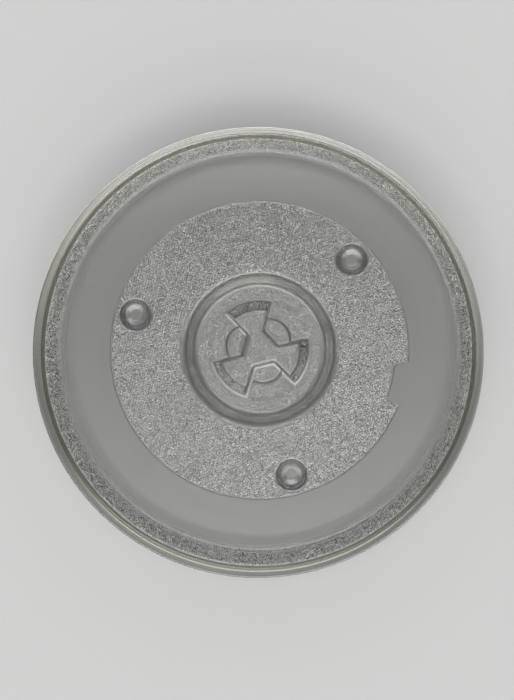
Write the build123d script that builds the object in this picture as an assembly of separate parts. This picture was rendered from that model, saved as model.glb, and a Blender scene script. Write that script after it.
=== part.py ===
from build123d import *
import os
from math import cos, radians, sin, tan

# Microwave oven turntable plate: one piece of pressed glass, food side up.
# It is turned about Z, and Z is zero at the flat face of the hub underneath.
# Sizes are in millimetres and angles in degrees.

# Rim: a rounded bead on a sloping wall
plate_diameter = 245.0
rim_height = 12.0
bead_width = 4.9
bead_height = 6.0
bead_crown = 0.7
bead_under_angle = 31.0
bead_lip = 1.6
bead_ledge = 0.4
wall_angle = 65.0
wall_thickness = 4.8
wall_foot_radius = 5.0
wall_heel_radius = 5.0

# Floor, with the shallow track that the rollers run in
floor_thickness = 5.0
track_inner_radius = 84.6
track_relief = 0.4

# Bare field in the stippled floor, level with the track and open to it
field_angle = -13.6
field_depth = 7.6
field_outer_half_angle = 9.0
field_inner_half_angle = 7.25
field_corner_radius = 1.5

# Nubs inside the track, in line with the lugs of the socket
nub_count = 3
nub_first_angle = 44.3
nub_inset = 11.3
nub_radius = 8.8
nub_shoulder_radius = 6.4
nub_tip_radius = 3.2
nub_height = 4.0
nub_shoulder_height = 2.6

# Hub under the middle of the floor
hub_depth = 7.0
hub_land = 9.5
hub_flank_angle = 53.0
hub_edge_bevel = 0.8

# Socket in the hub: a wing for each arm of the drive coupler, a lug between wings
socket_depth = 5.0
socket_floor_bevel = 0.6
socket_mouth_bevel = 0.4
wing_floor_reach = 22.5
wing_ramp_angle = 42.0
wing_half_angle = 28.5
wing_side_draft = 14.0
lug_face_distance = 9.5
lug_corner_radius = 1.2
lug_pad_reach = 19.4
lug_pad_radius = 11.8
lug_pad_relief = 1.0

# Levels
hub_level = 0.0
under_level = hub_level + hub_depth
track_level = under_level + track_relief
top_level = under_level + floor_thickness
rim_level = top_level + rim_height
crown_level = rim_level - bead_crown
ledge_level = rim_level - bead_lip
shoulder_level = rim_level - bead_height

# Rim radii, from the outer edge inwards
wall_slope = tan(radians(wall_angle))
wall_run = wall_thickness / sin(radians(wall_angle))
rim_radius = plate_diameter / 2
lip_radius = rim_radius - bead_width
wall_top_radius = lip_radius - bead_ledge
inner_foot = wall_top_radius - (ledge_level - top_level) / wall_slope
shoulder = wall_top_radius - (ledge_level - shoulder_level) / wall_slope + wall_run
outer_heel = shoulder - (shoulder_level - under_level) / wall_slope
heel_start = outer_heel - wall_heel_radius * tan(radians(wall_angle / 2))
track_outer_radius = heel_start - 2 * track_relief
bead_under_level = shoulder_level + (rim_radius - shoulder) * tan(radians(bead_under_angle))

# Hub and nub radii, from the axis outwards
wing_mouth_reach = wing_floor_reach + socket_depth / tan(radians(wing_ramp_angle))
hub_face_radius = wing_mouth_reach + hub_land
hub_foot_radius = hub_face_radius + hub_depth / tan(radians(hub_flank_angle))
nub_circle_radius = track_inner_radius - nub_inset
nub_pitch = 360 / nub_count


def polar(radius, angle):
    """Point in the plane at a radius and an angle."""
    return (radius * cos(radians(angle)), radius * sin(radians(angle)))


# Plate with its rim and hub, turned from a section that the crown of the bead closes
bevel_out, bevel_up = polar(hub_edge_bevel, hub_flank_angle)
section_corners = [
    ((lip_radius, crown_level), 0),
    ((wall_top_radius, ledge_level), 0),
    ((inner_foot, top_level), wall_foot_radius),
    ((0, top_level), 0),
    ((0, hub_level), 0),
    ((hub_face_radius - hub_edge_bevel, hub_level), 0),
    ((hub_face_radius + bevel_out, hub_level + bevel_up), 0),
    ((hub_foot_radius, under_level), 0),
    ((track_inner_radius, under_level), 0),
    ((track_inner_radius + track_relief, track_level), 0),
    ((track_outer_radius, track_level), 0),
    ((track_outer_radius + track_relief, under_level), 0),
    ((outer_heel, under_level), wall_heel_radius),
    ((shoulder, shoulder_level), 0),
    ((rim_radius, bead_under_level), 0),
    ((rim_radius, crown_level), 0),
]
points = [point for point, rounding in section_corners]
roundings = [rounding for point, rounding in section_corners[1:-1]]
section = FilletPolyline(points, radius=roundings)
crown = ThreePointArc(points[-1], (rim_radius - bead_width / 2, rim_level), points[0])
plate = revolve(Plane.XZ * make_face([section, crown]), Axis.Z)

# Bare field, cut up to the level of the track
field_inner_radius = track_inner_radius - field_depth
field_outer_radius = track_inner_radius + track_relief
inner_start = field_angle - field_inner_half_angle
inner_end = field_angle + field_inner_half_angle
outer_start = field_angle - field_outer_half_angle
outer_end = field_angle + field_outer_half_angle
field = make_face(
    [
        CenterArc((0, 0), field_inner_radius, inner_start, 2 * field_inner_half_angle),
        Line(polar(field_inner_radius, inner_end), polar(field_outer_radius, outer_end)),
        CenterArc((0, 0), field_outer_radius, outer_start, 2 * field_outer_half_angle),
        Line(polar(field_outer_radius, outer_start), polar(field_inner_radius, inner_start)),
    ]
)
field = fillet(field.vertices().sort_by_distance((0, 0))[:2], field_corner_radius)
plate -= Pos(0, 0, under_level) * extrude(field, track_relief)

# Nubs, each a flat-tipped dome on the floor, steeper towards its foot
nub_section = Polyline(
    (0, under_level),
    (nub_radius, under_level),
    (nub_shoulder_radius, under_level - nub_shoulder_height),
    (nub_tip_radius, under_level - nub_height),
    (0, under_level - nub_height),
    close=True,
)
nub = revolve(Plane.XZ * make_face(nub_section), Axis.Z)
for turn in range(nub_count):
    plate += Pos(*polar(nub_circle_radius, nub_first_angle + nub_pitch * turn), 0) * nub

# Socket: wings on a core with flat sides, ended by a ramp all round
lug_corner_distance = lug_face_distance / cos(radians(nub_pitch / 2 - wing_half_angle))
past_ramps = 2 * wing_mouth_reach
points = []
roundings = []
for turn in range(nub_count):
    middle = nub_first_angle + nub_pitch * (turn + 0.5)
    points.append(polar(lug_corner_distance, middle - wing_half_angle))
    points.append(polar(past_ramps, middle - wing_half_angle))
    points.append(polar(past_ramps, middle + wing_half_angle))
    points.append(polar(lug_corner_distance, middle + wing_half_angle))
    roundings.extend([lug_corner_radius, 0, 0, lug_corner_radius])
star = make_face(FilletPolyline(points, radius=roundings, close=True))
wings = extrude(star, socket_depth, taper=wing_side_draft)
ramps = Pos(0, 0, socket_depth / 2) * Cone(wing_mouth_reach, wing_floor_reach, socket_depth)
socket = wings & ramps
socket = chamfer(socket.faces().sort_by(Axis.Z)[-1].edges(), socket_floor_bevel)
plate -= Pos(0, 0, hub_level) * socket

# Lug pads, set back from the hub face
for turn in range(nub_count):
    middle = polar(lug_pad_reach - lug_pad_radius, nub_first_angle + nub_pitch * turn)
    pad = Pos(*middle, hub_level + lug_pad_relief / 2) * Cylinder(lug_pad_radius, lug_pad_relief)
    plate -= pad

# Bevelled mouth where the socket and the pads meet the hub face
mouth = [
    edge
    for edge in plate.edges().group_by(Axis.Z)[0]
    if edge.distance_to((0, 0, hub_level)) < wing_mouth_reach + hub_land / 2
]
plate = chamfer(mouth, socket_mouth_bevel)

os.makedirs("parts", exist_ok=True)
export_step(plate, "parts/turntable_plate.step")
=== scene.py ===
import math
import random

import bpy
import numpy as np
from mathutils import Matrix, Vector
from mathutils.geometry import delaunay_2d_cdt


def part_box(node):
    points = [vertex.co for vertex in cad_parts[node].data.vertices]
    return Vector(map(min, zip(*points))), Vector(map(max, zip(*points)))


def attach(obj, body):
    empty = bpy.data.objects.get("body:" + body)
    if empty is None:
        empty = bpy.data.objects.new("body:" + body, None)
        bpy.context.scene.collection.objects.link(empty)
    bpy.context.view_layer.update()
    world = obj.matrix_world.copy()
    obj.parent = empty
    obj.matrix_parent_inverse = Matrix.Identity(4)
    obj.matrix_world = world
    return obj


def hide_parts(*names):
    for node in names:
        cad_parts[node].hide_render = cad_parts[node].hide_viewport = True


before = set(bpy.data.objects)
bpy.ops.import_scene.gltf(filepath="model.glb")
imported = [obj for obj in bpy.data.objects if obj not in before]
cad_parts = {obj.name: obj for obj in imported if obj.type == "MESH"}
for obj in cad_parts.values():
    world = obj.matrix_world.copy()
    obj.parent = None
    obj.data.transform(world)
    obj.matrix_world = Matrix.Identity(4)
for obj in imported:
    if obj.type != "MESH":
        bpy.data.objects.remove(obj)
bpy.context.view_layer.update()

# Turntable plate, the whole object: one piece of clear soda-lime glass, pressed between mould and plunger.
# The mould gives the underside its hub, nubs, roller track and stipple, and the plunger gives a smooth top.
# The skin is drawn in millimetres: the stippled underside and wall first, then the rim and the food face.
MM = 0.001
low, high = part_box("turntable_plate")
rim_radius = (high.x - low.x) / MM / 2
rim_level = high.z / MM
hub_level = low.z / MM

rim_height = 12.0
floor_thickness = 5.0
top_level = rim_level - rim_height
under_level = top_level - floor_thickness

bead_width = 4.9
bead_height = 6.0
bead_crown = 0.7
bead_lip = 1.6
bead_ledge = 0.4
bead_under_angle = math.radians(31.0)
crown_level = rim_level - bead_crown
ledge_level = rim_level - bead_lip
shoulder_level = rim_level - bead_height
lip_radius = rim_radius - bead_width

wall_angle = math.radians(65.0)
wall_thickness = 4.8
wall_rounding = 5.0
wall_slope = math.tan(wall_angle)
wall_top = lip_radius - bead_ledge
inner_foot = wall_top - (ledge_level - top_level) / wall_slope
shoulder = wall_top - (ledge_level - shoulder_level) / wall_slope + wall_thickness / math.sin(wall_angle)
outer_heel = shoulder - (shoulder_level - under_level) / wall_slope
heel_start = outer_heel - wall_rounding * math.tan(wall_angle / 2)
bead_under_level = shoulder_level + (rim_radius - shoulder) * math.tan(bead_under_angle)

track_relief = 0.4
track_inner = 84.6
track_outer = heel_start - 2 * track_relief
track_level = under_level + track_relief
track_rounding = 0.25

socket_depth = 5.0
wing_floor_reach = 22.5
wing_ramp_slope = math.tan(math.radians(42.0))
wing_mouth_reach = wing_floor_reach + socket_depth / wing_ramp_slope

hub_land = 9.5
hub_flank_slope = math.tan(math.radians(53.0))
hub_rounding = 5.5
hub_face_radius = wing_mouth_reach + hub_land
hub_foot_radius = hub_face_radius + (under_level - hub_level) / hub_flank_slope
hub_middle = (hub_face_radius + hub_foot_radius) / 2


def polar(radius, angle):
    """Point in the plate's plane at a radius and an angle."""
    return Vector((radius * math.cos(angle), radius * math.sin(angle)))


def rounded(corners, spacing):
    """Points along straight runs whose inner corners are rounded, each to its own radius."""
    path = [Vector(corners[0][0])]
    for (previous, _), (corner, radius), (following, _) in zip(corners, corners[1:], corners[2:]):
        corner = Vector(corner)
        if radius == 0:
            path.append(corner)
            continue
        back = (Vector(previous) - corner).normalized()
        ahead = (Vector(following) - corner).normalized()
        half = back.angle(ahead) / 2
        centre = corner + (back + ahead).normalized() * radius / math.sin(half)
        first = corner + back * radius / math.tan(half) - centre
        last = corner + ahead * radius / math.tan(half) - centre
        turn = first.angle_signed(last)
        steps = max(2, math.ceil(radius * abs(turn) / spacing))
        for step in range(steps + 1):
            cosine = math.cos(-turn * step / steps)
            sine = math.sin(-turn * step / steps)
            spoke = Vector((first.x * cosine - first.y * sine, first.x * sine + first.y * cosine))
            path.append(centre + spoke)
    path.append(Vector(corners[-1][0]))
    return path


# Section of the underside, from the axis to the heel of the wall
under_section = rounded(
    [
        ((0, hub_level), 0),
        ((hub_face_radius, hub_level), hub_rounding),
        ((hub_foot_radius, under_level), hub_rounding),
        ((track_inner, under_level), track_rounding),
        ((track_inner + track_relief, track_level), track_rounding),
        ((track_outer, track_level), track_rounding),
        ((track_outer + track_relief, under_level), track_rounding),
        ((heel_start, under_level), 0),
    ],
    spacing=0.1,
)
section_radii = [point.x for point in under_section]
section_levels = [point.y for point in under_section]

# Nubs: flat-tipped domes on the floor, steepest at the foot
nub_count = 3
nub_pitch = math.radians(360 / nub_count)
nub_first_angle = math.radians(44.3)
nub_inset = 11.3
nub_circle = track_inner - nub_inset
nub_radius = 8.8
nub_height = 4.0
nub_tip = 3.2
nub_shoulder_radius = 6.8
nub_shoulder_height = 3.0
nub_section = rounded(
    [
        ((0, under_level - nub_height), 0),
        ((nub_tip, under_level - nub_height), 1.2),
        ((nub_shoulder_radius, under_level - nub_shoulder_height), 2.0),
        ((nub_radius, under_level), 1.0),
        ((nub_radius + 3, under_level), 0),
    ],
    spacing=0.4,
)
nub_radii = [point.x for point in nub_section]
nub_levels = [point.y for point in nub_section]
nub_centres = [polar(nub_circle, nub_first_angle + nub_pitch * turn) for turn in range(nub_count)]

# Socket: three wings on a core with flat sides, with a lug and its set-back pad between each two wings
wing_half_angle = math.radians(28.5)
wing_side_slope = 1 / math.tan(math.radians(14.0))
lug_face_distance = 9.5
lug_corner_rounding = 0.9
lug_pad_reach = 19.4
lug_pad_radius = 11.8
lug_pad_relief = 1.0
pad_side_slope = 3.0
pad_blend = 0.4
lip_slope = 0.27
mouth_lip = 1.4
floor_lip = 1.2
mouth_blend = 0.5
ramp_blend = 1.2
floor_blend = 0.8
flat_hub_radius = hub_face_radius - 4
lug_angles = [nub_first_angle + nub_pitch * turn for turn in range(nub_count)]
wing_angles = [angle + nub_pitch / 2 for angle in lug_angles]
pad_centres = [polar(lug_pad_reach - lug_pad_radius, angle) for angle in lug_angles]

# Bare field in the stippled floor, level with the track and open to it
field_angle = math.radians(-13.6)
field_depth = 7.6
field_inner = track_inner - field_depth
field_outer_half_angle = math.radians(9.0)
field_inner_half_angle = math.radians(7.25)
field_corner = 1.5


def soft_min(first, second, reach):
    """Lower of two heights, rounded where they cross."""
    near = np.maximum(reach - np.abs(first - second), 0) / reach
    return np.minimum(first, second) - near * near * reach / 4


def soft_max(first, second, reach):
    """Higher of two heights, rounded where they cross."""
    return -soft_min(-first, -second, reach)


def inside_socket(x, y):
    """Distance in from the side walls of the socket's wings and core."""
    inside = np.full(x.shape, np.inf)
    for angle in lug_angles:
        inside = np.minimum(inside, lug_face_distance - x * math.cos(angle) - y * math.sin(angle))
    for angle in wing_angles:
        left = angle + wing_half_angle
        right = angle - wing_half_angle
        from_left = x * math.sin(left) - y * math.cos(left)
        from_right = y * math.cos(right) - x * math.sin(right)
        inside = soft_max(inside, np.minimum(from_left, from_right), lug_corner_rounding)
    return inside


def inside_field(x, y):
    """Distance in from the edge of the bare field, on the side away from the track."""
    inside = np.hypot(x, y) - field_inner
    for side in (-1, 1):
        start = polar(field_inner, field_angle + side * field_inner_half_angle)
        end = polar(track_inner, field_angle + side * field_outer_half_angle)
        edge = (end - start).normalized()
        inside = soft_min(inside, side * (edge.y * (x - start.x) - edge.x * (y - start.y)), field_corner)
    return inside


def underside(x, y):
    """Level of the underside at points of its plan, without the stipple."""
    radius = np.hypot(x, y)
    level = np.interp(radius, section_radii, section_levels)
    for centre in nub_centres:
        from_nub = np.hypot(x - centre.x, y - centre.y)
        level = np.minimum(level, np.interp(from_nub, nub_radii, nub_levels, right=np.inf))
    field = under_level + np.clip(inside_field(x, y), 0, track_relief)
    in_field = (field > under_level) & (radius < track_inner + 1)
    level = np.where(in_field, np.maximum(level, field), level)
    hub = np.zeros(radius.shape)
    for centre in pad_centres:
        pad = (lug_pad_radius - np.hypot(x - centre.x, y - centre.y)) * pad_side_slope
        hub = soft_max(hub, soft_min(pad, np.float64(lug_pad_relief), pad_blend), pad_blend)
    inside = inside_socket(x, y)
    inside_mouth = np.minimum(inside, wing_mouth_reach - radius)
    hub = hub + lip_slope * np.clip(inside_mouth + mouth_lip, 0, mouth_lip)
    floor_edge = socket_depth / wing_side_slope + floor_lip
    socket_floor = socket_depth - lip_slope * np.clip(floor_edge - inside, 0, floor_lip)
    sides = inside * wing_side_slope
    ramps = (wing_mouth_reach - radius) * wing_ramp_slope
    socket = soft_min(soft_min(sides, ramps, ramp_blend), socket_floor, floor_blend)
    return np.where(radius < flat_hub_radius, hub_level + soft_max(hub, socket, mouth_blend), level)


# Wall outside the heel, laid out flat by its length so that its stipple is as wide as the floor's
wall_path = rounded(
    [
        ((heel_start, under_level), 0),
        ((outer_heel, under_level), wall_rounding),
        ((shoulder, shoulder_level), 0),
    ],
    spacing=0.5,
)
shoulder_gap = 0.7
wall_end = wall_path[-1] + (wall_path[-2] - wall_path[-1]).normalized() * shoulder_gap
wall_path[-1] = wall_end
wall_radii = [point.x for point in wall_path]
wall_levels = [point.y for point in wall_path]
wall_runs = [(end - start).length for start, end in zip(wall_path, wall_path[1:])]
wall_lengths = np.concatenate([[0], np.cumsum(wall_runs)])
skirt_radius = heel_start + wall_lengths[-1]


def mould_skin(plan_x, plan_y, lift):
    """Points of the moulded side from its flat plan, each lifted square to the surface by its stipple."""
    reach = 0.3
    least_radius = 1e-9
    spread = np.hypot(plan_x, plan_y)
    length = spread - heel_start
    radius = np.where(length > 0, np.interp(length, wall_lengths, wall_radii), spread)
    level = np.where(length > 0, np.interp(length, wall_lengths, wall_levels), underside(plan_x, plan_y))
    ahead = np.interp(length + reach, wall_lengths, wall_radii)
    behind = np.interp(length - reach, wall_lengths, wall_radii)
    lean = np.where(length > reach, np.clip((ahead - behind) / (2 * reach), 0, 1), 1.0)
    scale = np.where(spread > 0, radius / np.maximum(spread, least_radius), 0)
    outward = 1 + np.sqrt(1 - lean * lean) * lift / np.maximum(radius, least_radius)
    return np.stack([plan_x * scale * outward, plan_y * scale * outward, level - lean * lift], axis=1)


# Lines that the mesh's edges follow: the points, whether they close, and a painted tone for the glass along
# them.
# A painted tone under 1 is painted shade on a steep flank, where little light comes up through the glass.
# Lips are over 1, as painted highlights.
columns = 360
nub_columns = 48
hub_columns = 240
lines = []


def add_ring(radius, centre=Vector((0, 0)), count=columns, tone=1.0):
    """Closed ring of points that edges follow."""
    turns = [2 * math.pi * column / count for column in range(count)]
    lines.append(([centre + polar(radius, turn) for turn in turns], True, tone))


track_edge_offsets = (-0.12, -0.03, 0.06, 0.34, 0.43, 0.52)
for offset in track_edge_offsets:
    add_ring(track_inner + offset)
    add_ring(track_outer + offset)
track_ring_offsets = (1.2, 6.0, 12.0, 18.0, 24.0)
for offset in track_ring_offsets:
    add_ring(track_inner + offset)
heel_ring_offset = 0.3
add_ring(heel_start + heel_ring_offset)
add_ring(skirt_radius)

# Rings round each nub, painted darker towards its steep foot: a dark outline of painted shade.
nub_ring_painted_shade = (
    (1.6, 0.95), (2.7, 0.95), (3.0, 0.95), (3.3, 0.95), (3.7, 0.95), (4.8, 0.9), (5.4, 0.8), (6.0, 0.65),
    (6.6, 0.5), (7.0, 0.4), (7.4, 0.35), (8.0, 0.3), (8.5, 0.3), (8.8, 0.45), (9.2, 0.9),
)
for centre in nub_centres:
    for radius, tone in nub_ring_painted_shade:
        add_ring(radius, centre, nub_columns, tone)

# Rings over the hub's flank: a band of painted shade, darkest at the middle of the flank.
hub_rings = 17
hub_flank_half = 3.2
hub_painted_shade_half = 2.0
hub_flank_painted_shade = 0.45
for offset in np.linspace(-hub_flank_half, hub_flank_half, hub_rings):
    tone = 1 - hub_flank_painted_shade * math.exp(-((offset / hub_painted_shade_half) ** 2))
    add_ring(hub_middle + offset, count=hub_columns, tone=tone)

# Loops round the socket, by depth below the hub's face, spare distance inwards and painted tone: painted
# shade down the side walls, painted highlights along the lips
socket_loops = (
    (0.0, -1.4, 1.0), (0.0, -1.2, 1.1), (0.0, -0.4, 1.1), (0.0, -0.1, 0.8), (0.2, 0.0, 0.5), (0.5, 0.0, 0.4),
    (1.5, 0.0, 0.4), (3.0, 0.0, 0.4), (4.3, 0.0, 0.4), (4.6, 0.0, 0.5), (4.8, 0.0, 0.8), (5.0, 0.3, 1.1),
    (5.0, 1.0, 1.1), (5.0, 1.2, 1.0),
)
lug_turn = nub_pitch / 2 - wing_half_angle
loop_spacing = 0.8
ramp_points = 40
for depth, spare, tone in socket_loops:
    inset = depth / wing_side_slope + spare
    reach = wing_mouth_reach - depth / wing_ramp_slope - spare
    lug_distance = (lug_face_distance - inset + inset * math.sin(lug_turn)) / math.cos(lug_turn)
    ramp_start = math.asin(inset / reach)
    corners = []
    for angle in wing_angles:
        right = angle - wing_half_angle
        left = angle + wing_half_angle
        corners.append((polar(lug_distance, right) + polar(inset, right + math.pi / 2), lug_corner_rounding))
        for turn in np.linspace(right + ramp_start, left - ramp_start, ramp_points):
            corners.append((polar(reach, turn), 0))
        corners.append((polar(lug_distance, left) + polar(inset, left - math.pi / 2), lug_corner_rounding))
    path = rounded([corners[-1]] + corners + [corners[0]], spacing=0.3)[1:-1]
    loop = []
    for start, end in zip(path, path[1:] + path[:1]):
        pieces = max(1, math.ceil((end - start).length / loop_spacing))
        loop.extend(start.lerp(end, piece / pieces) for piece in range(pieces))
    lines.append((loop, True, tone))

# Arcs along the edge of each lug pad, cut short where the socket begins, each with a painted tone: painted
# highlight lines beside painted shade lines
pad_arc_painted_tones = ((-1.3, 1.1), (-0.9, 1.25), (-0.5, 0.7), (-0.1, 0.5), (0.3, 0.75), (0.7, 1.1))
pad_clearance = 0.35
for centre, angle in zip(pad_centres, lug_angles):
    turns = [angle + math.radians(turn) for turn in range(-80, 81, 3)]
    for offset, tone in pad_arc_painted_tones:
        arc = [centre + polar(lug_pad_radius + offset, turn) for turn in turns]
        inside = inside_socket(np.array([point.x for point in arc]), np.array([point.y for point in arc]))
        lines.append(([point for point, depth in zip(arc, inside) if depth < -pad_clearance], False, tone))

# Lines along the edge of the bare field, from the track round its inner end and back
field_edge_offsets = (-0.08, 0.0, 0.08, 0.34, 0.42, 0.5)
field_gap = 0.2
field_end_points = 20
field_side_points = 10
for offset in field_edge_offsets:
    halves = []
    for side in (-1, 1):
        outer_half_angle = field_outer_half_angle - offset / track_inner
        inner_half_angle = field_inner_half_angle - offset / field_inner
        outer = polar(track_inner - field_gap, field_angle + side * outer_half_angle)
        turns = np.linspace(inner_half_angle, 0, field_end_points)
        arc = [polar(field_inner + offset, field_angle + side * turn) for turn in turns]
        run = [outer.lerp(arc[0], piece / field_side_points) for piece in range(field_side_points)]
        halves.append(run + arc)
    lines.append((halves[0] + halves[1][-2::-1], False, 1.0))

# Stipple: low pebbles left by the mould, on a shaken triangular grid, each a top with six hollows round it.
# The grid is turned, so that its rows don't run along X or Y. A top is painted brighter than a hollow: a
# painted highlight on each top and painted shade in each hollow.
random.seed(11)
pebble = 1.6
pebble_row = pebble * math.sqrt(3) / 2
pebble_shake = 0.3
grid_turn = math.radians(17.0)
tops = (0.0, 0.2)
hollows = (0.7, 1.1)
mean_hollow = 0.6
rows = math.ceil(skirt_radius / pebble_row) + 1
places = math.ceil(skirt_radius / pebble) + 1
sites = []
for row in range(-rows, rows):
    for place in range(-places, places):
        shift = place + 0.5 * (row % 2)
        for right, up, depths in ((0, 0, tops), (0.5, 1 / 3, hollows), (1, 2 / 3, hollows)):
            shake = polar(random.uniform(0, pebble_shake), random.uniform(0, 2 * math.pi))
            site = ((shift + right + shake.x) * pebble, (row + up + shake.y) * pebble_row)
            sites.append(site + (random.uniform(*depths),))
along_rows, across_rows, hollow = np.array(sites).T
site_x = along_rows * math.cos(grid_turn) - across_rows * math.sin(grid_turn)
site_y = along_rows * math.sin(grid_turn) + across_rows * math.cos(grid_turn)
spread = np.hypot(site_x, site_y)
inside = inside_socket(site_x, site_y)
stipple_depth = np.zeros(len(spread))
stipple_painted_contrast = np.zeros(len(spread))
stipple_painted_tone = np.zeros(len(spread))


def lay_stipple(where, depth, contrast, tone):
    """Depth of the stipple on one area, with its painted tone and how far tops and hollows stand apart in it:
    painted highlight on tops, painted shade in hollows.
    """
    stipple_depth[where] = depth
    stipple_painted_contrast[where] = contrast
    stipple_painted_tone[where] = tone


# Areas of stipple, each clear of the lines at its edges, each with its own painted tone: the floor and ramps
# painted darker, the wall painted brighter. On the wall it fades at the heel and at the top.
flank_edge = 3.6
flank_fade = 5.4
floor_margin = 0.6
nub_margin = 0.8
clear_of_field = inside_field(site_x, site_y) < -floor_margin
on_floor = (spread > hub_middle + flank_edge) & (spread < track_inner - floor_margin) & clear_of_field
for centre in nub_centres:
    on_floor &= np.hypot(site_x - centre.x, site_y - centre.y) > nub_radius + nub_margin
lay_stipple(on_floor, depth=0.22, contrast=0.8, tone=0.76)

wall_margin = 0.8
heel_bare = 0.5
heel_fade = 5.0
top_fade = 1.6
on_wall = (spread > heel_start + wall_margin) & (spread < skirt_radius - wall_margin)
from_heel = np.clip((spread[on_wall] - heel_start - heel_bare) / heel_fade, 0, 1)
from_top = np.clip((skirt_radius - spread[on_wall]) / top_fade, 0, 1)
rise = from_heel * from_top
# The wall's stipple is painted brighter than the floor's, with strong painted glints on its tops and painted
# shade in its hollows.
lay_stipple(on_wall, depth=0.04 + 0.5 * rise, contrast=0.1 + 1.15 * rise, tone=1.1)

mouth_margin = 1.5
on_land = (spread > wing_mouth_reach + mouth_margin) & (spread <= hub_middle - flank_edge)
on_lugs = (spread < wing_mouth_reach) & (inside < -mouth_margin)
lay_stipple(on_land | on_lugs, depth=0.15, contrast=0.4, tone=1.0)
from_flank = np.abs(spread - hub_middle)
by_flank = (from_flank > flank_edge) & (from_flank < flank_fade)
lay_stipple(by_flank, depth=0.06, contrast=0.15, tone=1.02)

ramp_top_margin = 0.3
ramp_foot_margin = 0.5
ramp_side_margin = 1.0
on_ramps = (spread < wing_mouth_reach - ramp_top_margin) & (spread > wing_floor_reach + ramp_foot_margin)
# The ramps are painted dark, with strong painted glints and painted shade between tops and hollows.
lay_stipple(on_ramps & (inside > ramp_side_margin), depth=0.15, contrast=1.3, tone=0.7)

socket_end_margin = 0.7
socket_side_margin = 2.55
in_socket = (spread < wing_floor_reach - socket_end_margin) & (inside > socket_side_margin)
lay_stipple(in_socket, depth=0.15, contrast=0.4, tone=0.88)

pad_edge_inset = 0.2
pad_edge_bare = 1.3
for centre in pad_centres:
    from_edge = np.abs(np.hypot(site_x - centre.x, site_y - centre.y) - lug_pad_radius + pad_edge_inset)
    stipple_depth[(from_edge < pad_edge_bare) & (inside < 0) & (spread < hub_face_radius)] = 0

# Painted tone of each stipple site: tops painted lighter as highlights, hollows painted darker as shade, held
# between these limits.
darkest = 0.1
brightest = 1.12
painted_light_tone = stipple_painted_tone * (1 + stipple_painted_contrast * (mean_hollow - hollow) / mean_hollow)
used = stipple_depth > 0
points = [Vector(site) for site in zip(site_x[used], site_y[used])]
lifts = list(-(hollow * stipple_depth)[used])
painted_tones = list(np.clip(painted_light_tone, darkest, brightest)[used])

# Moulded skin: the stipple and the lines joined into triangles in the flat plan, then set in their places
edges = []
for line, closed, tone in lines:
    first = len(points)
    points.extend(line)
    lifts.extend([0.0] * len(line))
    painted_tones.extend([tone] * len(line))
    edges.extend((first + place, first + place + 1) for place in range(len(line) - 1))
    if closed:
        edges.append((first + len(line) - 1, first))
merge_distance = 1e-4
plan, _, triangles, origins, _, _ = delaunay_2d_cdt(points, edges, [], 0, merge_distance)
plan_x = np.array([point.x for point in plan])
plan_y = np.array([point.y for point in plan])
lift = np.array([lifts[origin[0]] if origin else 0.0 for origin in origins])
skin_painted_tone = np.array([painted_tones[origin[0]] if origin else 1.0 for origin in origins])
skin = mould_skin(plan_x, plan_y, lift)
faces = [triangle[::-1] for triangle in triangles]
stippled = lift < 0
smooth = [not all(stippled[corner] for corner in face) for face in faces]
MOULDED, BEAD, FOOD_FACE = range(3)
finishes = [MOULDED] * len(faces)

# Rim and food face, turned from the wall's top edge over the bead and down to the middle of the food face.
# The crown of the bead has fine pressed lines, and the rings under its lip carry a painted dark line of
# painted shade.
half_width = bead_width / 2
crown_slope = math.radians(26.0)
crown_peak = half_width * math.tan(crown_slope)
crown_rounding = (crown_peak - bead_crown) / (1 / math.cos(crown_slope) - 1)
crown_line_spacing = 1.1
crown_line_depth = 0.06
crown_line_rise = 0.1
crown_line_margin = 0.4
lip_line_rings = (1.3, 1.8)
lip_line_end = 1.5
lip_line_over = 0.2
bead_end = 1.6
food_face_radii = (95.0, 75.0, 55.0, 35.0, 15.0, 4.0)
rim_corners = [
    ((wall_end.x, wall_end.y), 0),
    ((shoulder, shoulder_level), 0.6),
    ((rim_radius, bead_under_level), 0.7),
    ((rim_radius, crown_level), 0.9),
    ((rim_radius - half_width, crown_level + crown_peak), crown_rounding),
    ((lip_radius, crown_level), 0.6),
    ((wall_top, ledge_level), 0.25),
]
rim_corners.extend(((wall_top - drop / wall_slope, ledge_level - drop), 0) for drop in lip_line_rings)
rim_corners.append(((inner_foot, top_level), wall_rounding))
rim_corners.extend(((radius, top_level), 0) for radius in food_face_radii)
rim_section = rounded(rim_corners, spacing=0.2)[1:]
for point in rim_section:
    if point.y > crown_level + crown_line_rise and lip_radius < point.x < rim_radius - crown_line_margin:
        turn = 2 * math.pi * (point.x - lip_radius) / crown_line_spacing
        point.y -= crown_line_depth / 2 * (1 - math.cos(turn))

boundary = np.argsort(np.abs(np.hypot(plan_x, plan_y) - skirt_radius))[:columns]
boundary = boundary[np.argsort(np.arctan2(plan_y[boundary], plan_x[boundary]) % (2 * math.pi))]
angles = np.arctan2(plan_y[boundary], plan_x[boundary])
vertices = [skin]
lip_shade_mask = [np.zeros(len(skin))]
previous = list(boundary)
count = len(skin)
finish = MOULDED
for point in rim_section:
    vertices.append(
        np.stack([point.x * np.cos(angles), point.x * np.sin(angles), np.full(columns, point.y)], axis=1)
    )
    # Where the painted shade under the lip lies.
    by_lip = wall_top - lip_line_end < point.x < lip_radius + lip_line_over
    lip_shade_mask.append(np.full(columns, float(by_lip and point.y > ledge_level - lip_line_end)))
    current = list(range(count, count + columns))
    count += columns
    for column in range(columns):
        following = (column + 1) % columns
        faces.append((previous[column], previous[following], current[following], current[column]))
    if finish == MOULDED and point.y > crown_level:
        finish = BEAD
    if finish == BEAD and point.y < ledge_level - bead_end:
        finish = FOOD_FACE
    finishes.extend([finish] * columns)
    previous = current
vertices.append(np.array([[0, 0, top_level]]))
lip_shade_mask.append(np.zeros(1))
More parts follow.
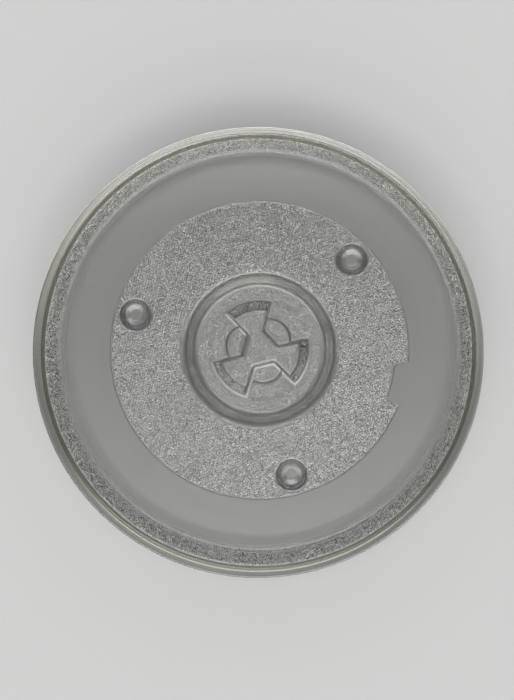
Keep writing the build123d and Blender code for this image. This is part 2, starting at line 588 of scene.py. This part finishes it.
faces.extend((previous[column], previous[(column + 1) % columns], count) for column in range(columns))
finishes.extend([finish] * columns)
smooth.extend([True] * (len(faces) - len(smooth)))
vertices = np.concatenate(vertices) * MM

plate_mesh = bpy.data.meshes.new("turntable_plate_skin")
plate_mesh.from_pydata(
    [tuple(vertex) for vertex in vertices], [], [tuple(int(corner) for corner in face) for face in faces]
)
plate_mesh.polygons.foreach_set("use_smooth", smooth)
plate_mesh.polygons.foreach_set("material_index", finishes)
painted_lip_shade = plate_mesh.attributes.new("painted_lip_shade", "FLOAT", "POINT")
painted_lip_shade.data.foreach_set("value", np.concatenate(lip_shade_mask))
painted_light_attribute = plate_mesh.attributes.new("painted_light_tone", "FLOAT", "POINT")
painted_light_attribute.data.foreach_set("value", np.concatenate([skin_painted_tone, np.ones(len(vertices) - len(skin))]))
plate_mesh.update()
plate = bpy.data.objects.new("pressed_glass_plate", plate_mesh)
bpy.context.collection.objects.link(plate)
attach(plate, "root")
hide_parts("turntable_plate")


def linear(code):
    """Linear colour from an sRGB hex value."""
    colour = []
    for place in (1, 3, 5):
        part = int(code[place : place + 2], 16) / 255
        colour.append(part / 12.92 if part <= 0.04045 else ((part + 0.055) / 1.055) ** 2.4)
    return colour + [1.0]


def grey(value):
    """Neutral colour of one linear value."""
    return (value, value, value, 1.0)


def empty_tree(owner):
    """Node tree of a material or a world, with nothing in it."""
    owner.use_nodes = True
    owner.node_tree.nodes.clear()
    return owner.node_tree


def add_node(tree, kind, settings=None, links=None, stops=()):
    """Node of a kind, with values for its settings and sockets, links into its sockets and colour stops."""
    node = tree.nodes.new(kind)
    for name, value in (settings or {}).items():
        if isinstance(name, str) and hasattr(node, name):
            setattr(node, name, value)
        else:
            node.inputs[name].default_value = value
    for name, output in (links or {}).items():
        tree.links.new(output, node.inputs[name])
    for position, colour in stops:
        node.color_ramp.elements.new(position).color = colour
    if stops:
        node.color_ramp.elements.remove(node.color_ramp.elements[-1])
        node.color_ramp.elements.remove(node.color_ramp.elements[0])
    return node


glass_ior = 1.52
glass_tint = {"Color": linear("#e4e4e2"), "Density": 24.0}
clear_colour = linear("#fbfbf9")


def add_glass(tree, settings, links=None):
    """Clear glass with a surface of its own, tinted a faint grey through its thickness."""
    clear = {"IOR": glass_ior, "Transmission Weight": 1.0}
    body = add_node(tree, "ShaderNodeBsdfPrincipled", clear | settings, links)
    tint = add_node(tree, "ShaderNodeVolumeAbsorption", glass_tint)
    results = {"Surface": body.outputs["BSDF"], "Volume": tint.outputs["Volume"]}
    add_node(tree, "ShaderNodeOutputMaterial", links=results)


# Moulded soda-lime glass: it follows the mould, so its skin is a little rough, most of all on the outer
# track, which the rollers rub. From inside, the skin throws back part of the light, so it is part mirror,
# more so where its painted tone stands out: pebble tops and lips carry painted highlights, and hollows and
# steep flanks painted shade.
moulded_glass = bpy.data.materials.new("moulded_soda_lime_glass")
tree = empty_tree(moulded_glass)
shade_from = 100.0
shade_to = 125.0
# Colour by radius is painted light and shade: darker at the heel, lighter up the wall, darker again on the
# bead's underside.
moulded_painted_shade = ((111.3, "#f0f0ef"), (113, "#e0e0de"), (117, "#f6f6f2"), (120, "#f6f6f2"), (121, "#e6e6e5"))
moulded_roughness = ((104, 0.28), (107, 0.5), (111, 0.5), (113, 0.28), (120, 0.28), (121, 0.1))


def shade_place(radius):
    """Place of a radius in millimetres on the ramps of colour and roughness."""
    return (radius - shade_from) / (shade_to - shade_from)


coordinates = add_node(tree, "ShaderNodeTexCoord")
flat = add_node(
    tree,
    "ShaderNodeVectorMath",
    {"operation": "MULTIPLY", 1: (1, 1, 0)},
    {0: coordinates.outputs["Object"]},
)
from_axis = add_node(tree, "ShaderNodeVectorMath", {"operation": "LENGTH"}, {0: flat.outputs["Vector"]})
outwards = add_node(
    tree,
    "ShaderNodeMapRange",
    {"From Min": shade_from * MM, "From Max": shade_to * MM},
    {"Value": from_axis.outputs["Value"]},
)
colour = add_node(
    tree,
    "ShaderNodeValToRGB",
    links={"Fac": outwards.outputs["Result"]},
    stops=[(shade_place(radius), linear(code)) for radius, code in moulded_painted_shade],
)
rubbed = add_node(
    tree,
    "ShaderNodeValToRGB",
    links={"Fac": outwards.outputs["Result"]},
    stops=[(shade_place(radius), grey(value)) for radius, value in moulded_roughness],
)
# The painted tone scales the base colour, as painted highlights and painted shade, and the mirror share rises
# wherever it stands out from 1.
painted_tone_value = add_node(tree, "ShaderNodeAttribute", {"attribute_name": "painted_light_tone"})
shaded = add_node(
    tree,
    "ShaderNodeVectorMath",
    {"operation": "SCALE"},
    {0: colour.outputs["Color"], "Scale": painted_tone_value.outputs["Fac"]},
)
offset_tone = add_node(tree, "ShaderNodeMath", {"operation": "SUBTRACT", 1: 1.0}, {0: painted_tone_value.outputs["Fac"]})
apart = add_node(tree, "ShaderNodeMath", {"operation": "ABSOLUTE"}, {0: offset_tone.outputs["Value"]})
mirror = add_node(
    tree,
    "ShaderNodeMapRange",
    {"From Min": 0.0, "From Max": 0.7, "To Min": 0.28, "To Max": 0.85},
    {"Value": apart.outputs["Value"]},
)
moulded_links = {
    "Base Color": shaded.outputs["Vector"],
    "Metallic": mirror.outputs["Result"],
    "Roughness": rubbed.outputs["Color"],
}
add_glass(tree, {}, moulded_links)
plate_mesh.materials.append(moulded_glass)

# Fire-polished soda-lime glass: the bead is reheated after pressing, so it is clear and shines.
# Under its lip a dark olive line is painted into the base colour: painted shade, standing in for the dark
# line the glass shows there when looked at edgewise.
bead_glass = bpy.data.materials.new("fire_polished_soda_lime_glass_bead")
tree = empty_tree(bead_glass)
lip_shade = add_node(tree, "ShaderNodeAttribute", {"attribute_name": "painted_lip_shade"})
# Clear glass, mixed to dark olive where the painted lip shade lies.
bead_colour = add_node(
    tree,
    "ShaderNodeMix",
    {"data_type": "RGBA", 6: clear_colour, 7: linear("#86826e")},
    {0: lip_shade.outputs["Fac"]},
)
add_glass(tree, {"Metallic": 0.04, "Roughness": 0.05}, {"Base Color": bead_colour.outputs[2]})
plate_mesh.materials.append(bead_glass)

# Smooth soda-lime glass: the food face is pressed by the polished plunger.
# It is clear, with sharp reflections, and the moulded side shows through it.
food_face_glass = bpy.data.materials.new("smooth_soda_lime_glass")
tree = empty_tree(food_face_glass)
add_glass(tree, {"Base Color": clear_colour, "Roughness": 0.03})
plate_mesh.materials.append(food_face_glass)

# Floor: one wide sheet of matt pale paper that the plate stands on.
# It reaches far enough that a low view meets its edge only at the horizon.
floor_half = 20.0
floor_mesh = bpy.data.meshes.new("floor")
floor_mesh.from_pydata(
    [
        (-floor_half, -floor_half, 0),
        (floor_half, -floor_half, 0),
        (floor_half, floor_half, 0),
        (-floor_half, floor_half, 0),
    ],
    [],
    [(0, 1, 2, 3)],
)
floor = bpy.data.objects.new("floor", floor_mesh)
floor.location.z = hub_level * MM
bpy.context.collection.objects.link(floor)
paper = bpy.data.materials.new("matt_paper")
tree = empty_tree(paper)
body = add_node(tree, "ShaderNodeBsdfPrincipled", {"Base Color": linear("#c4c4c3"), "Roughness": 0.9})
add_node(tree, "ShaderNodeOutputMaterial", links={"Surface": body.outputs["BSDF"]})
floor_mesh.materials.append(paper)

# Light: a pale room, brighter low down and at its near and far ends, seen directly as an even pale grey.
# Soft lamps stand half-way up on the near side, and a panel hangs high on the far side.
# Each is a strength by the height of a direction, times a strength from the near end to the far end.
room_by_height = (
    (0.0, 0.9), (0.09, 0.9), (0.12, 0.25), (0.16, 0.25), (0.2, 1.0), (0.42, 1.0), (0.47, 0.12), (0.8, 0.12),
    (0.9, 0.55),
)
lamps_by_height = ((0.5, 0.0), (0.56, 1.0), (0.7, 1.0), (0.76, 0.2), (0.86, 0.16), (0.93, 0.1), (0.97, 0.0))
panel_by_height = ((0.75, 0.0), (0.8, 1.0), (0.93, 1.0), (0.96, 0.0))
room_seen = 0.7
both_ends_gain = 2.2
near_end_gain = 0.7
world = bpy.data.worlds.new("pale_room")
tree = empty_tree(world)
direction = add_node(tree, "ShaderNodeTexCoord")
parts = add_node(tree, "ShaderNodeSeparateXYZ", links={"Vector": direction.outputs["Generated"]})
height = {"Fac": parts.outputs["Z"]}
room = add_node(
    tree,
    "ShaderNodeValToRGB",
    links=height,
    stops=[(level, grey(value)) for level, value in room_by_height],
)
lamps = add_node(
    tree,
    "ShaderNodeValToRGB",
    links=height,
    stops=[(level, grey(value)) for level, value in lamps_by_height],
)
panel = add_node(
    tree,
    "ShaderNodeValToRGB",
    links=height,
    stops=[(level, grey(value)) for level, value in panel_by_height],
)
slope = add_node(
    tree,
    "ShaderNodeMath",
    {"operation": "MULTIPLY_ADD", 1: both_ends_gain, 2: -near_end_gain},
    {0: parts.outputs["Y"]},
)
room_ends = add_node(
    tree,
    "ShaderNodeMath",
    {"operation": "MULTIPLY_ADD", 2: 1.0},
    {0: slope.outputs["Value"], 1: parts.outputs["Y"]},
)
near_side = add_node(
    tree,
    "ShaderNodeMapRange",
    {"From Min": -0.6, "From Max": 0.0, "To Min": 3.4, "To Max": 0.1},
    {"Value": parts.outputs["Y"]},
)
far_side = add_node(
    tree,
    "ShaderNodeMapRange",
    {"From Min": 0.2, "From Max": 0.4, "To Min": 0.0, "To Max": 2.6},
    {"Value": parts.outputs["Y"]},
)
lamp_light = add_node(
    tree,
    "ShaderNodeMath",
    {"operation": "MULTIPLY"},
    {0: lamps.outputs["Color"], 1: near_side.outputs["Result"]},
)
with_panel = add_node(
    tree,
    "ShaderNodeMath",
    {"operation": "MULTIPLY_ADD"},
    {0: panel.outputs["Color"], 1: far_side.outputs["Result"], 2: lamp_light.outputs["Value"]},
)
with_room = add_node(
    tree,
    "ShaderNodeMath",
    {"operation": "MULTIPLY_ADD"},
    {0: room.outputs["Color"], 1: room_ends.outputs["Value"], 2: with_panel.outputs["Value"]},
)
rays = add_node(tree, "ShaderNodeLightPath")
strength = add_node(
    tree,
    "ShaderNodeMix",
    {"data_type": "FLOAT", 3: room_seen},
    {0: rays.outputs["Is Camera Ray"], 2: with_room.outputs["Value"]},
)
near_to_far = add_node(
    tree,
    "ShaderNodeMapRange",
    {"From Min": -0.7, "From Max": 0.7},
    {"Value": parts.outputs["Y"]},
)
light = add_node(
    tree,
    "ShaderNodeMix",
    {"data_type": "RGBA", 6: linear("#f9f8f6"), 7: linear("#f0f3f6")},
    {0: near_to_far.outputs["Result"]},
)
sky = add_node(
    tree,
    "ShaderNodeBackground",
    links={"Color": light.outputs[2], "Strength": strength.outputs[0]},
)
add_node(tree, "ShaderNodeOutputWorld", links={"Surface": sky.outputs["Background"]})
bpy.context.scene.world = world

# Camera: level above the plate and a little off its axis, at the photograph's viewing angle.
# The frame is shifted so that the plate lies where the photograph has it.
image_height = 700
focal_pixels = 564.0
camera_height = 329.0
camera_right = 16.0
camera_up = 33.9
plate_right_of_centre = 2.3
plate_above_centre = 0.5
lens = bpy.data.cameras.new("camera")
lens.sensor_width = 36.0
lens.lens = focal_pixels / image_height * lens.sensor_width
camera = bpy.data.objects.new("camera", lens)
camera.location = Vector((camera_right, camera_up, camera_height)) * MM
pixels_per_mm = focal_pixels / (camera_height - top_level)
lens.shift_x = -(camera_right * pixels_per_mm + plate_right_of_centre) / image_height
lens.shift_y = -(camera_up * pixels_per_mm - plate_above_centre) / image_height
bpy.context.collection.objects.link(camera)
bpy.context.scene.camera = camera
bpy.context.scene.view_settings.view_transform = "Standard"
bpy.context.scene.cycles.max_bounces = 24
bpy.context.scene.cycles.transmission_bounces = 24
bpy.context.scene.cycles.glossy_bounces = 12
